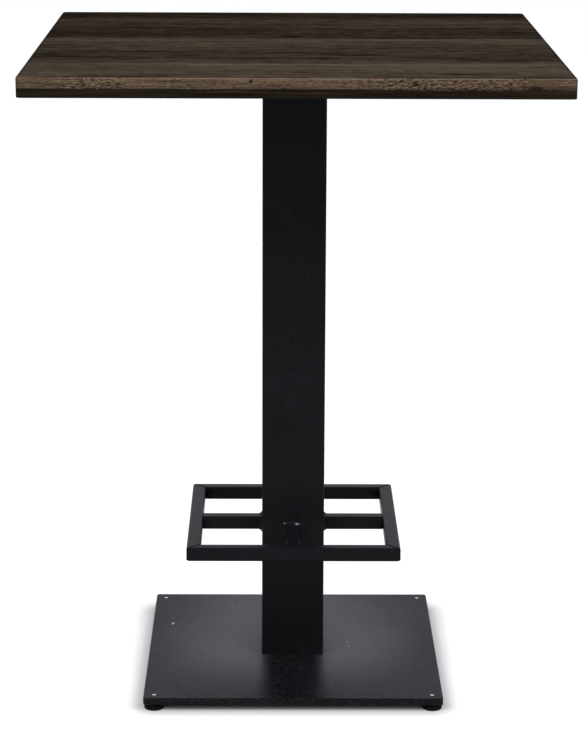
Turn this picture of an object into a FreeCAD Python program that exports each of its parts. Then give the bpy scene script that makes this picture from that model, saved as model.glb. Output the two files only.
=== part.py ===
import FreeCAD, Part
import math
import os
import Sketcher

# A square pub table: a two-layer wooden top on a square steel column, a welded footrest
# frame, and a base plate on four levelling feet. The origin is on the floor under the
# middle of the column, +Z is up and -Y is the front.

# Driving dimensions in millimetres.
SIZES = {
    # wooden top
    "table_height": 1035,
    "top_width": 800,
    "top_depth": 800,
    "top_corner_radius": 8,
    "board_thickness": 16,
    "board_edge_radius": 3,
    "underlayer_thickness": 14,
    "underlayer_edge_radius": 1,
    # column
    "column_width": 101.6,
    "column_wall": 3,
    "column_inner_radius": 1,
    # plate and screws between the column and the top
    "head_plate_width": 350,
    "head_plate_thickness": 5,
    "head_plate_corner_radius": 10,
    "head_weld_leg": 5,
    "screw_inset": 20,
    "screw_diameter": 5,
    "screw_bite": 7,
    "screw_head_diameter": 10,
    "screw_head_height": 3.5,
    "screw_head_radius": 2,
    "screw_tip_radius": 0.3,
    "screw_hole_clearance": 0.25,
    "pilot_clearance": 0.05,
    "pilot_end_gap": 0.5,
    # base plate
    "base_width": 478,
    "base_depth": 478,
    "base_thickness": 12,
    "base_corner_radius": 5,
    "base_edge_radius": 1.5,
    # bolted joint between the column and the base plate
    "nut_plate_thickness": 12,
    "nut_plate_gap": 0.2,
    "nut_plate_weld_leg": 3.5,
    "foot_weld_gap": 1.5,
    "bolt_inset": 17,
    "bolt_diameter": 8,
    "bolt_hole_clearance": 0.5,
    "bolt_thread_clearance": 0.05,
    "bolt_end_gap": 0.6,
    "bolt_head_flats": 13,
    "bolt_head_height": 5.3,
    "bolt_chamfer": 0.8,
    "washer_diameter": 16,
    "washer_thickness": 1.6,
    "washer_hole_clearance": 0.2,
    # footrest
    "footrest_width": 342,
    "footrest_depth": 342,
    "footrest_height": 250,
    "tube_width": 22,
    "tube_wall": 2,
    "tube_inner_radius": 1,
    "footrest_weld_leg": 6,
    "weld_toe": 0.5,
    # levelling feet
    "foot_inset": 17,
    "stud_diameter": 8,
    "stud_clearance": 0.05,
    "stud_recess": 0.5,
    "stud_chamfer": 0.8,
    "collar_flats": 13,
    "collar_height": 3.3,
    "collar_gap": 0.2,
    "flange_diameter": 14,
    "flange_thickness": 3,
    "flange_side_gap": 0.3,
    "flange_top_gap": 0.1,
    "pad_diameter": 32,
    "pad_sole": 2,
    "pad_lip": 1.4,
    "pad_edge_radius": 1.5,
    "pad_bevel": 1.5,
}

# Sizes worked out from the driving dimensions.
DERIVED = {
    # heights above the floor
    "cavity_top": "=pad_sole + flange_thickness + flange_top_gap",
    "pad_height": "=cavity_top + pad_lip",
    "collar_underside": "=pad_height + collar_gap",
    "base_clearance": "=collar_underside + collar_height",
    "base_top": "=base_clearance + base_thickness",
    "nut_plate_recess": "=nut_plate_weld_leg + foot_weld_gap",
    "nut_plate_underside": "=base_top + nut_plate_recess",
    "footrest_axis": "=footrest_height - tube_width / 2",
    "top_underside": "=table_height - board_thickness - underlayer_thickness",
    "board_underside": "=table_height - board_thickness",
    "column_top": "=top_underside - head_plate_thickness",
    # column
    "column_length": "=column_top - base_top",
    "column_half": "=column_width / 2",
    "column_bore": "=column_width - 2 * column_wall",
    "column_corner_radius": "=column_inner_radius + column_wall",
    # weld under the head plate
    "head_weld_underside": "=column_top - head_weld_leg",
    "head_weld_width": "=column_width + 2 * head_weld_leg",
    "head_weld_radius": "=column_corner_radius + head_weld_leg",
    "head_weld_toe_width": "=column_width + 2 * weld_toe",
    "head_weld_toe_radius": "=column_corner_radius + weld_toe",
    # screws into the top
    "screw_line": "=head_plate_width / 2 - screw_inset",
    "screw_length": "=head_plate_thickness + underlayer_thickness + screw_bite",
    "screw_point": "=screw_diameter / 2 - screw_tip_radius",
    "screw_hole": "=screw_diameter + 2 * screw_hole_clearance",
    "pilot_hole": "=screw_diameter + 2 * pilot_clearance",
    "pilot_depth": "=screw_bite + pilot_end_gap",
    # plate inside the foot of the column
    "nut_plate_width": "=column_bore - 2 * nut_plate_gap",
    "nut_weld_underside": "=nut_plate_underside - nut_plate_weld_leg",
    "nut_weld_width": "=column_bore - 2 * nut_plate_weld_leg",
    "nut_weld_toe_width": "=column_bore - 2 * weld_toe",
    # bolts through the base plate
    "bolt_place": "=column_bore / 2 - bolt_inset",
    "bolt_hole": "=bolt_diameter + 2 * bolt_hole_clearance",
    "bolt_thread_hole": "=bolt_diameter + 2 * bolt_thread_clearance",
    "bolt_length": "=washer_thickness + base_thickness + nut_plate_recess + nut_plate_thickness"
                   " - bolt_end_gap",
    "washer_underside": "=base_clearance - washer_thickness",
    "washer_hole": "=bolt_diameter + 2 * washer_hole_clearance",
    # footrest
    "tube_half": "=tube_width / 2",
    "tube_bore": "=tube_width - 2 * tube_wall",
    "tube_corner_radius": "=tube_inner_radius + tube_wall",
    "mitre_reach": "=1.5 * tube_width",
    "footrest_half_width": "=footrest_width / 2",
    "footrest_half_depth": "=footrest_depth / 2",
    "side_bar_line": "=(footrest_width - tube_width) / 2",
    "front_bar_line": "=(footrest_depth - tube_width) / 2",
    "side_bar_face": "=footrest_width / 2 - tube_width",
    "front_bar_face": "=footrest_depth / 2 - tube_width",
    "side_arm_length": "=side_bar_face - column_half",
    "front_arm_length": "=front_bar_face - column_half",
    "collar_width": "=tube_width + 2 * footrest_weld_leg",
    "collar_radius": "=tube_corner_radius + footrest_weld_leg",
    "collar_toe_width": "=tube_width + 2 * weld_toe",
    "collar_toe_radius": "=tube_corner_radius + weld_toe",
    "collar_end": "=column_half + footrest_weld_leg",
    "bead_height": "=tube_width - 2 * tube_corner_radius",
    "bead_underside": "=footrest_axis - bead_height / 2",
    "bead_out": "=tube_half + footrest_weld_leg",
    "side_bead_in": "=side_bar_face - footrest_weld_leg",
    "front_bead_in": "=front_bar_face - footrest_weld_leg",
    # levelling feet
    "foot_x": "=base_width / 2 - foot_inset",
    "foot_y": "=base_depth / 2 - foot_inset",
    "stud_hole": "=stud_diameter + 2 * stud_clearance",
    "stud_top": "=base_top - stud_recess",
    "stud_length": "=stud_top - pad_sole",
    "pad_radius": "=pad_diameter / 2",
    "pad_neck_radius": "=stud_hole / 2",
    "cavity_radius": "=flange_diameter / 2 + flange_side_gap",
}

UP = FreeCAD.Vector(0, 0, 1)
TOLERANCE = 1e-4

# Codes that a sketch gives to the points of a curve and to its own axes.
START, END, CENTRE = range(1, 4)
ACROSS_AXIS, UP_AXIS = range(-1, -3, -1)
ORIGIN = (ACROSS_AXIS, START)

doc = FreeCAD.newDocument("pub_table")
parts = []


def make_sheet():
    """Write every size into the sheet, each under its own alias."""
    table = doc.addObject("Spreadsheet::Sheet", "sizes")
    rows = list(SIZES.items()) + list(DERIVED.items())
    for row, (name, content) in enumerate(rows, start=1):
        table.set(f"A{row}", name)
        table.set(f"B{row}", str(content))
        table.setAlias(f"B{row}", name)
    doc.recompute()
    return table


sheet = make_sheet()


def number(name):
    """Present value of a named size."""
    return float(sheet.get(name))


# Bodies, sketches and features

def add_body(label, solids=1):
    """Start a sub-part: an empty body whose label names its file."""
    body = doc.addObject("PartDesign::Body", label)
    body.Label = label
    parts.append((body, solids))
    return body


def reference(name):
    """Expression for a named size, or for its negative where a minus stands before it."""
    if name.startswith("-"):
        return f"-sizes.{name[1:]}"
    return f"sizes.{name}"


def place(body, x=None, y=None, z=None, turn=0):
    """Set a body down at named distances from the origin, turned about the vertical."""
    body.Placement = FreeCAD.Placement(FreeCAD.Vector(), FreeCAD.Rotation(UP, turn))
    for axis, size in (("x", x), ("y", y), ("z", z)):
        if size:
            body.setExpression(f"Placement.Base.{axis}", reference(size))


def origin_feature(body, role):
    """Plane or axis of the body's own origin."""
    for feature in body.Origin.OriginFeatures:
        if feature.Role == role:
            return feature
    raise ValueError(f"{body.Label} has no {role}")


def add_sketch(body, name, role="XY_Plane", x=None, y=None, lift=None):
    """Start a sketch on an origin plane, its own origin moved by named sizes."""
    sketch = body.newObject("Sketcher::SketchObject", f"{body.Name}_{name}")
    sketch.AttachmentSupport = [(origin_feature(body, role), "")]
    sketch.MapMode = "FlatFace"
    for axis, size in (("x", x), ("y", y), ("z", lift)):
        if size:
            sketch.setExpression(f"AttachmentOffset.Base.{axis}", reference(size))
    return sketch


def dimension(sketch, size, kind, *geometry):
    """Add a dimension that follows a named size."""
    index = sketch.addConstraint(Sketcher.Constraint(kind, *geometry, number(size)))
    sketch.setExpression(f"Constraints[{index}]", reference(size))


def relate(sketch, kind, *geometry):
    """Add a constraint that has no size."""
    sketch.addConstraint(Sketcher.Constraint(kind, *geometry))


def pin(sketch, geometry, position, across, up):
    """Hold a point at named distances from the sketch's origin, minus for the other side."""
    for name, kind, axis in ((across, "DistanceX", UP_AXIS), (up, "DistanceY", ACROSS_AXIS)):
        if name is None:
            relate(sketch, "PointOnObject", geometry, position, axis)
        elif name.startswith("-"):
            dimension(sketch, name[1:], kind, geometry, position, *ORIGIN)
        else:
            dimension(sketch, name, kind, *ORIGIN, geometry, position)


def signed(name):
    """Value of a named size, of a size with a minus before it, or zero."""
    if name is None:
        return 0.0
    if name.startswith("-"):
        return -number(name[1:])
    return number(name)


def polygon(sketch, corners):
    """Closed outline whose corners are pairs of named sizes."""
    points = [FreeCAD.Vector(signed(across), signed(up), 0) for across, up in corners]
    first = sketch.GeometryCount
    for start, end in zip(points, points[1:] + points[:1]):
        sketch.addGeometry(Part.LineSegment(start, end), False)
    for step, (across, up) in enumerate(corners):
        following = first + (step + 1) % len(corners)
        relate(sketch, "Coincident", first + step, END, following, START)
        pin(sketch, first + step, START, across, up)


def circle(sketch, diameter, across=None, up=None):
    """Circle of a named diameter, its centre at named distances from the origin."""
    centre = FreeCAD.Vector(signed(across), signed(up), 0)
    index = sketch.addGeometry(Part.Circle(centre, UP, number(diameter) / 2), False)
    pin(sketch, index, CENTRE, across, up)
    dimension(sketch, diameter, "Diameter", index)


def corner_circles(sketch, diameter, across, up):
    """Four equal circles, one at each corner of a rectangle about the origin."""
    for x in (across, "-" + across):
        for y in (up, "-" + up):
            circle(sketch, diameter, x, y)


def rounded_rectangle(sketch, width, depth, radius):
    """Rectangle about the origin with equal round corners."""
    half_width = number(width) / 2
    half_depth = number(depth) / 2
    corner = number(radius)
    inner_width = half_width - corner
    inner_depth = half_depth - corner
    # Each side runs anticlockwise and is followed by the corner at its end.
    outline = (
        ((-inner_width, -half_depth), (inner_width, -half_depth), (inner_width, -inner_depth)),
        ((half_width, -inner_depth), (half_width, inner_depth), (inner_width, inner_depth)),
        ((inner_width, half_depth), (-inner_width, half_depth), (-inner_width, inner_depth)),
        ((-half_width, inner_depth), (-half_width, -inner_depth), (-inner_width, -inner_depth)),
    )
    sides = []
    arcs = []
    for step, side in enumerate(outline):
        start, end, centre = [FreeCAD.Vector(*point, 0) for point in side]
        sides.append(sketch.addGeometry(Part.LineSegment(start, end), False))
        whole = Part.Circle(centre, UP, corner)
        arc = Part.ArcOfCircle(whole, (step - 1) * math.pi / 2, step * math.pi / 2)
        arcs.append(sketch.addGeometry(arc, False))
    for step in range(4):
        relate(sketch, "Tangent", sides[step], END, arcs[step], START)
        relate(sketch, "Tangent", arcs[step], END, sides[(step + 1) % 4], START)
    for step, direction in enumerate(("Horizontal", "Vertical", "Horizontal", "Vertical")):
        relate(sketch, direction, sides[step])
    for step in range(1, 4):
        relate(sketch, "Equal", arcs[0], arcs[step])
    relate(sketch, "Symmetric", arcs[0], CENTRE, arcs[2], CENTRE, *ORIGIN)
    dimension(sketch, width, "DistanceX", sides[3], START, sides[1], START)
    dimension(sketch, depth, "DistanceY", sides[0], START, sides[2], START)
    dimension(sketch, radius, "Radius", arcs[0])


def hexagon(sketch, flats):
    """Regular hexagon about the origin, measured across its flats."""
    corner_radius = number(flats) / math.sqrt(3)
    points = []
    for step in range(6):
        turn = FreeCAD.Rotation(UP, 60 * step)
        points.append(turn.multVec(FreeCAD.Vector(corner_radius, 0, 0)))
    first = sketch.GeometryCount
    for start, end in zip(points, points[1:] + points[:1]):
        sketch.addGeometry(Part.LineSegment(start, end), False)
    guide = sketch.addGeometry(Part.Circle(FreeCAD.Vector(), UP, corner_radius), True)
    relate(sketch, "Coincident", guide, CENTRE, *ORIGIN)
    for step in range(6):
        relate(sketch, "Coincident", first + step, END, first + (step + 1) % 6, START)
        relate(sketch, "PointOnObject", first + step, START, guide)
    for step in range(1, 6):
        relate(sketch, "Equal", first, first + step)
    relate(sketch, "PointOnObject", first, START, ACROSS_AXIS)
    dimension(sketch, flats, "DistanceY", first + 4, START, first + 1, START)


def add_pad(body, sketch, length, down=False):
    """Raise a sketch by a named length, or lower it."""
    pad = body.newObject("PartDesign::Pad", f"{sketch.Name}_pad")
    pad.Profile = sketch
    pad.Reversed = down
    pad.setExpression("Length", reference(length))
    doc.recompute()
    return pad


def add_pocket(body, sketch, depth=None, up=False):
    """Cut a sketch into the body, right through where no depth is named."""
    before = body.Shape.Volume
    pocket = body.newObject("PartDesign::Pocket", f"{sketch.Name}_pocket")
    pocket.Profile = sketch
    pocket.Reversed = up
    if depth is None:
        pocket.Type = "ThroughAll"
    else:
        pocket.setExpression("Length", reference(depth))
    doc.recompute()
    if not body.Shape.Volume < before:
        raise ValueError(f"{pocket.Name} cuts nothing")
    return pocket


def add_loft(body, kind, sketches):
    """Join outlines by straight rules, as an added or a subtracted solid."""
    loft = body.newObject(f"PartDesign::{kind}", f"{sketches[0].Name}_loft")
    loft.Profile = sketches[0]
    loft.Sections = sketches[1:]
    loft.Ruled = True
    doc.recompute()
    return loft


def add_revolution(body, sketch):
    """Turn a sketch once round its own upright axis."""
    revolution = body.newObject("PartDesign::Revolution", f"{sketch.Name}_revolution")
    revolution.Profile = sketch
    revolution.ReferenceAxis = (sketch, ["V_Axis"])
    revolution.Angle = 360
    doc.recompute()
    return revolution


def level_edges(shape, height, radius=None):
    """Names of the edges at one height, or of the round edges of one radius there."""
    names = []
    for index, edge in enumerate(shape.Edges, start=1):
        box = edge.BoundBox
        if abs(box.ZMin - height) > TOLERANCE or abs(box.ZMax - height) > TOLERANCE:
            continue
        if radius is not None and abs(getattr(edge.Curve, "Radius", 0) - radius) > TOLERANCE:
            continue
        names.append(f"Edge{index}")
    return names


def soften_edges(body, kind, size, height, radius=None):
    """Fillet or chamfer the edges of the last feature that lie at one height."""
    base = body.Tip
    edges = level_edges(base.Shape, height, radius)
    feature = body.newObject(f"PartDesign::{kind}", f"{body.Name}_{size}")
    feature.Base = (base, edges)
    feature.setExpression("Radius" if kind == "Fillet" else "Size", reference(size))
    doc.recompute()
    return feature


def repeat_round(body, count):
    """Repeat the whole body about its vertical axis."""
    pattern = body.newObject("PartDesign::PolarPattern", f"{body.Name}_pattern")
    pattern.TransformMode = "Whole shape"
    pattern.Axis = (origin_feature(body, "Z_Axis"), [""])
    pattern.Angle = 360
    pattern.Occurrences = count
    body.Tip = pattern
    doc.recompute()
    return pattern


# Wooden top

def screw_circles(sketch, diameter):
    """A circle at each corner and each mid-side of the head plate's screw square."""
    corner_circles(sketch, diameter, "screw_line", "screw_line")
    for away in ("screw_line", "-screw_line"):
        circle(sketch, diameter, away, None)
        circle(sketch, diameter, None, away)


def make_top_board():
    """Upper board, rounded along its upper edge, with blind pilot holes below."""
    body = add_body("top_board")
    outline = add_sketch(body, "outline")
    rounded_rectangle(outline, "top_width", "top_depth", "top_corner_radius")
    add_pad(body, outline, "board_thickness")
    soften_edges(body, "Fillet", "board_edge_radius", number("board_thickness"))
    pilots = add_sketch(body, "pilots")
    screw_circles(pilots, "pilot_hole")
    add_pocket(body, pilots, "pilot_depth", up=True)
    place(body, z="board_underside")


def make_top_underlayer():
    """Lower board, flush with the upper one and drilled through for the screws."""
    body = add_body("top_underlayer")
    outline = add_sketch(body, "outline")
    rounded_rectangle(outline, "top_width", "top_depth", "top_corner_radius")
    add_pad(body, outline, "underlayer_thickness")
    soften_edges(body, "Fillet", "underlayer_edge_radius", 0)
    pilots = add_sketch(body, "pilots", lift="underlayer_thickness")
    screw_circles(pilots, "pilot_hole")
    add_pocket(body, pilots)
    place(body, z="top_underside")


# Head of the column

def make_head_plate():
    """Steel plate that carries the top, with a clearance hole for each screw."""
    body = add_body("head_plate")
    outline = add_sketch(body, "outline")
    rounded_rectangle(outline, "head_plate_width", "head_plate_width", "head_plate_corner_radius")
    add_pad(body, outline, "head_plate_thickness")
    holes = add_sketch(body, "holes", lift="head_plate_thickness")
    screw_circles(holes, "screw_hole")
    add_pocket(body, holes)
    place(body, z="column_top")


def make_head_plate_screws():
    """Pan-head wood screws, driven up through the head plate into both boards."""
    body = add_body("head_plate_screws", solids=8)
    heads = add_sketch(body, "heads")
    screw_circles(heads, "screw_head_diameter")
    add_pad(body, heads, "screw_head_height", down=True)
    soften_edges(body, "Fillet", "screw_head_radius", -number("screw_head_height"))
    shanks = add_sketch(body, "shanks")
    screw_circles(shanks, "screw_diameter")
    add_pad(body, shanks, "screw_length")
    soften_edges(body, "Chamfer", "screw_point", number("screw_length"))
    place(body, z="column_top")


def make_column_head_weld():
    """Fillet weld round the column, under the head plate."""
    body = add_body("column_head_weld")
    toe = add_sketch(body, "toe")
    rounded_rectangle(toe, "head_weld_toe_width", "head_weld_toe_width", "head_weld_toe_radius")
    face = add_sketch(body, "face", lift="head_weld_leg")
    rounded_rectangle(face, "head_weld_width", "head_weld_width", "head_weld_radius")
    add_loft(body, "AdditiveLoft", [toe, face])
    inside = add_sketch(body, "inside", lift="head_weld_leg")
    rounded_rectangle(inside, "column_width", "column_width", "column_corner_radius")
    add_pocket(body, inside)
    place(body, z="head_weld_underside")


# Column and its bolted foot

def make_column_tube():
    """Square hollow column from the base plate to the head plate."""
    body = add_body("column_tube")
    section = add_sketch(body, "section")
    rounded_rectangle(section, "column_width", "column_width", "column_corner_radius")
    rounded_rectangle(section, "column_bore", "column_bore", "column_inner_radius")
    add_pad(body, section, "column_length")
    place(body, z="base_top")


def make_column_nut_plate():
    """Threaded plate inside the foot of the column, set back from its end."""
    body = add_body("column_nut_plate")
    outline = add_sketch(body, "outline")
    rounded_rectangle(outline, "nut_plate_width", "nut_plate_width", "column_inner_radius")
    add_pad(body, outline, "nut_plate_thickness")
    threads = add_sketch(body, "threads", lift="nut_plate_thickness")
    corner_circles(threads, "bolt_thread_hole", "bolt_place", "bolt_place")
    add_pocket(body, threads)
    place(body, z="nut_plate_underside")


def make_column_foot_weld():
    """Fillet weld in the corner between the nut plate's underside and the tube."""
    body = add_body("column_foot_weld")
    outline = add_sketch(body, "outline")
    rounded_rectangle(outline, "column_bore", "column_bore", "column_inner_radius")
    add_pad(body, outline, "nut_plate_weld_leg")
    toe = add_sketch(body, "toe")
    rounded_rectangle(toe, "nut_weld_toe_width", "nut_weld_toe_width", "column_inner_radius")
    face = add_sketch(body, "face", lift="nut_plate_weld_leg")
    rounded_rectangle(face, "nut_weld_width", "nut_weld_width", "column_inner_radius")
    add_loft(body, "SubtractiveLoft", [toe, face])
    place(body, z="nut_weld_underside")


def make_column_bolts():
    """Hexagon bolts from under the base plate up into the nut plate."""
    body = add_body("column_bolts", solids=4)
    head = add_sketch(body, "head", x="bolt_place", y="bolt_place")
    hexagon(head, "bolt_head_flats")
    add_pad(body, head, "bolt_head_height", down=True)
    shank = add_sketch(body, "shank", x="bolt_place", y="bolt_place")
    circle(shank, "bolt_diameter")
    add_pad(body, shank, "bolt_length")
    soften_edges(body, "Chamfer", "bolt_chamfer", number("bolt_length"))
    repeat_round(body, 4)
    place(body, z="washer_underside")


def make_column_bolt_washers():
    """Flat washers between the bolt heads and the base plate."""
    body = add_body("column_bolt_washers", solids=4)
    rings = add_sketch(body, "rings")
    corner_circles(rings, "washer_diameter", "bolt_place", "bolt_place")
    corner_circles(rings, "washer_hole", "bolt_place", "bolt_place")
    add_pad(body, rings, "washer_thickness")
    place(body, z="washer_underside")


def make_base_plate():
    """Base plate with eased edges, four bolt holes and four foot holes."""
    body = add_body("base_plate")
    outline = add_sketch(body, "outline")
    rounded_rectangle(outline, "base_width", "base_depth", "base_corner_radius")
    add_pad(body, outline, "base_thickness")
    soften_edges(body, "Fillet", "base_edge_radius", number("base_thickness"))
    soften_edges(body, "Fillet", "base_edge_radius", 0)
    holes = add_sketch(body, "holes", lift="base_thickness")
    corner_circles(holes, "bolt_hole", "bolt_place", "bolt_place")
    corner_circles(holes, "stud_hole", "foot_x", "foot_y")
    add_pocket(body, holes)
    place(body, z="base_clearance")


# Footrest

def tube_section(body):
    """Section of the footrest's square tube, across the body's X axis."""
    section = add_sketch(body, "section", "YZ_Plane")
    rounded_rectangle(section, "tube_width", "tube_width", "tube_corner_radius")
    rounded_rectangle(section, "tube_bore", "tube_bore", "tube_inner_radius")
    return section


def make_frame_bar(label, length, x, y, turn):
    """Bar of the square frame, mitred at both ends with its long face outwards."""
    body = add_body(label)
    add_pad(body, tube_section(body), length)
    start = add_sketch(body, "start_mitre", lift="tube_half")
    polygon(start, (
        ("-tube_half", "-tube_width"),
        ("mitre_reach", "tube_width"),
        ("-tube_half", "tube_width"),
    ))
    add_pocket(body, start)
    end = add_sketch(body, "end_mitre", x=length, lift="tube_half")
    polygon(end, (
        ("tube_half", "-tube_width"),
        ("tube_half", "tube_width"),
        ("-mitre_reach", "tube_width"),
    ))
    add_pocket(body, end)
    place(body, x, y, "footrest_axis", turn)


def make_arm(label, length, x, y, turn):
    """Straight tube from a face of the column to the frame."""
    body = add_body(label)
    add_pad(body, tube_section(body), length)
    place(body, x, y, "footrest_axis", turn)


def make_footrest_column_welds():
    """Fillet weld round each arm, against the column."""
    body = add_body("footrest_column_welds", solids=4)
    face = add_sketch(body, "face", "YZ_Plane", lift="column_half")
    rounded_rectangle(face, "collar_width", "collar_width", "collar_radius")
    toe = add_sketch(body, "toe", "YZ_Plane", lift="collar_end")
    rounded_rectangle(toe, "collar_toe_width", "collar_toe_width", "collar_toe_radius")
    add_loft(body, "AdditiveLoft", [face, toe])
    inside = add_sketch(body, "inside", "YZ_Plane", lift="collar_end")
    rounded_rectangle(inside, "tube_width", "tube_width", "tube_corner_radius")
    add_pocket(body, inside)
    repeat_round(body, 4)
    place(body, z="footrest_axis")


def make_footrest_bar_welds():
    """Upright fillet welds between the arms and the frame and in the frame's inside corners."""
    body = add_body("footrest_bar_welds", solids=12)
    corners = add_sketch(body, "corners")
    for x in ("", "-"):
        for y in ("", "-"):
            polygon(corners, (
                (x + "side_bar_face", y + "tube_half"),
                (x + "side_bead_in", y + "tube_half"),
                (x + "side_bar_face", y + "bead_out"),
            ))
            polygon(corners, (
                (x + "tube_half", y + "front_bar_face"),
                (x + "tube_half", y + "front_bead_in"),
                (x + "bead_out", y + "front_bar_face"),
            ))
            polygon(corners, (
                (x + "side_bar_face", y + "front_bar_face"),
                (x + "side_bar_face", y + "front_bead_in"),
                (x + "side_bead_in", y + "front_bar_face"),
            ))
    add_pad(body, corners, "bead_height")
    place(body, z="bead_underside")


def make_footrest():
    """Square frame on four arms, with its welds."""
    frame_bars = (
        ("front", "footrest_width", "-footrest_half_width", "-front_bar_line", 0),
        ("right", "footrest_depth", "side_bar_line", "-footrest_half_depth", 90),
        ("rear", "footrest_width", "footrest_half_width", "front_bar_line", 180),
        ("left", "footrest_depth", "-side_bar_line", "footrest_half_depth", 270),
    )
    for side, length, x, y, turn in frame_bars:
        make_frame_bar(f"footrest_{side}_bar", length, x, y, turn)
    arms = (
        ("right", "side_arm_length", "column_half", None, 0),
        ("rear", "front_arm_length", None, "column_half", 90),
        ("left", "side_arm_length", "-column_half", None, 180),
        ("front", "front_arm_length", None, "-column_half", 270),
    )
    for side, length, x, y, turn in arms:
        make_arm(f"footrest_arm_{side}", length, x, y, turn)
    make_footrest_column_welds()
    make_footrest_bar_welds()


# Levelling feet

def make_foot_pad(corner, x, y):
    """Round pad with a hollow that traps the stud's flange."""
    body = add_body(f"foot_pad_{corner}")
    profile = add_sketch(body, "profile", "XZ_Plane")
    polygon(profile, (
        (None, None),
        ("pad_radius", None),
        ("pad_radius", "pad_height"),
        ("pad_neck_radius", "pad_height"),
        ("pad_neck_radius", "cavity_top"),
        ("cavity_radius", "cavity_top"),
        ("cavity_radius", "pad_sole"),
        (None, "pad_sole"),
    ))
    add_revolution(body, profile)
    soften_edges(body, "Fillet", "pad_edge_radius", 0, number("pad_radius"))
    soften_edges(body, "Chamfer", "pad_bevel", number("pad_height"), number("pad_radius"))
    place(body, x, y)


def make_foot_stud(corner, x, y):
    """Stud with a flange in the pad, a hexagon collar and a shank through the base plate."""
    body = add_body(f"foot_stud_{corner}")
    flange = add_sketch(body, "flange", lift="pad_sole")
    circle(flange, "flange_diameter")
    add_pad(body, flange, "flange_thickness")
    collar = add_sketch(body, "collar", lift="collar_underside")
    hexagon(collar, "collar_flats")
    add_pad(body, collar, "collar_height")
    shank = add_sketch(body, "shank", lift="pad_sole")
    circle(shank, "stud_diameter")
    add_pad(body, shank, "stud_length")
    soften_edges(body, "Chamfer", "stud_chamfer", number("stud_top"))
    place(body, x, y)


def make_feet():
    """A pad and a stud at each corner of the base plate."""
    for depth, y in (("front", "-foot_y"), ("rear", "foot_y")):
        for side, x in (("left", "-foot_x"), ("right", "foot_x")):
            make_foot_pad(f"{depth}_{side}", x, y)
            make_foot_stud(f"{depth}_{side}", x, y)


def check_parts():
    """Stop at any failed object, and at any sub-part that isn't whole."""
    doc.recompute()
    for item in doc.Objects:
        if "Invalid" in item.State or "Error" in item.State:
            raise ValueError(f"{item.Name} failed: {item.State}")
    for body, solids in parts:
        if body.Shape.isNull() or not body.Shape.isValid():
            raise ValueError(f"{body.Label} has no valid shape")
        if len(body.Shape.Solids) != solids:
            raise ValueError(f"{body.Label} has {len(body.Shape.Solids)} solids, not {solids}")


def write_parts():
    """Write each sub-part to its own file."""
    os.makedirs("parts", exist_ok=True)
    for body, solids in parts:
        body.Shape.exportStep(f"parts/{body.Label}.step")


make_top_board()
make_top_underlayer()
make_head_plate()
make_head_plate_screws()
make_column_head_weld()
make_column_tube()
make_column_nut_plate()
make_column_foot_weld()
make_column_bolts()
make_column_bolt_washers()
make_base_plate()
make_footrest()
make_feet()
check_parts()
write_parts()
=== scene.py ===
import math

import bmesh
import bpy
from mathutils import Matrix, Vector, noise


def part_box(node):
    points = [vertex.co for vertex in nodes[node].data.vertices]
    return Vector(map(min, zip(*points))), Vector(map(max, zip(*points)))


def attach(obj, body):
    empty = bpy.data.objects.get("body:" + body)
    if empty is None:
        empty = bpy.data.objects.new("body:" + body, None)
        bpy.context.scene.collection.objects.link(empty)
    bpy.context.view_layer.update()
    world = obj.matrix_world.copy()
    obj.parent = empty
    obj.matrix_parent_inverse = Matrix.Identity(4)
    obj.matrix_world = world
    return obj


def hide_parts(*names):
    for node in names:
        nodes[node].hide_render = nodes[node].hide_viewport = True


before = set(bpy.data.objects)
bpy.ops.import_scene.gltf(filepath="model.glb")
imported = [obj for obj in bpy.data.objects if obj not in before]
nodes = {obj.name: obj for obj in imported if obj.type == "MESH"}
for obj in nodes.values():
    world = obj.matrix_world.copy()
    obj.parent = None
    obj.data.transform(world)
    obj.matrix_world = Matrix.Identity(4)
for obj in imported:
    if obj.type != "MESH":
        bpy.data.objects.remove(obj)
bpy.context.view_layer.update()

MM = 0.001
UP = Vector((0, 0, 1))
SIDES = {
    "front": Vector((0, -1, 0)),
    "right": Vector((1, 0, 0)),
    "rear": Vector((0, 1, 0)),
    "left": Vector((-1, 0, 0)),
}
CORNERS = ("front_left", "front_right", "rear_left", "rear_right")

# Mesh detail
ROUND_STEPS = 72
CORNER_STEPS = 6
SHARP_ANGLE = math.radians(32)

# Weld beads
BEAD_STEP = 0.45 * MM
BEAD_PITCH = 2.6 * MM
BEAD_SECTION_STEPS = 8
BEAD_SINK = 0.2 * MM
BEAD_RIPPLE = 0.45 * MM
BEAD_HOLLOW = 1.1 * MM
BEAD_CRESCENT = 1.2 * MM
BEAD_UNEVEN = 0.16
BEAD_UNEVEN_SCALE = 90
BEAD_END_SHARE = 0.3
BEAD_END_POWER = 6

# Footrest tube, and the seams at its mitred corners: (depth of the groove, distance from the joint)
TUBE_RADIUS = 3 * MM
SEAM = ((2.8 * MM, 0), (1.6 * MM, 0.8 * MM), (0.6 * MM, 1.5 * MM), (0, 2.3 * MM))

# Column corner radius, needed where the head weld runs round it
COLUMN_RADIUS = 4 * MM

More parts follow.
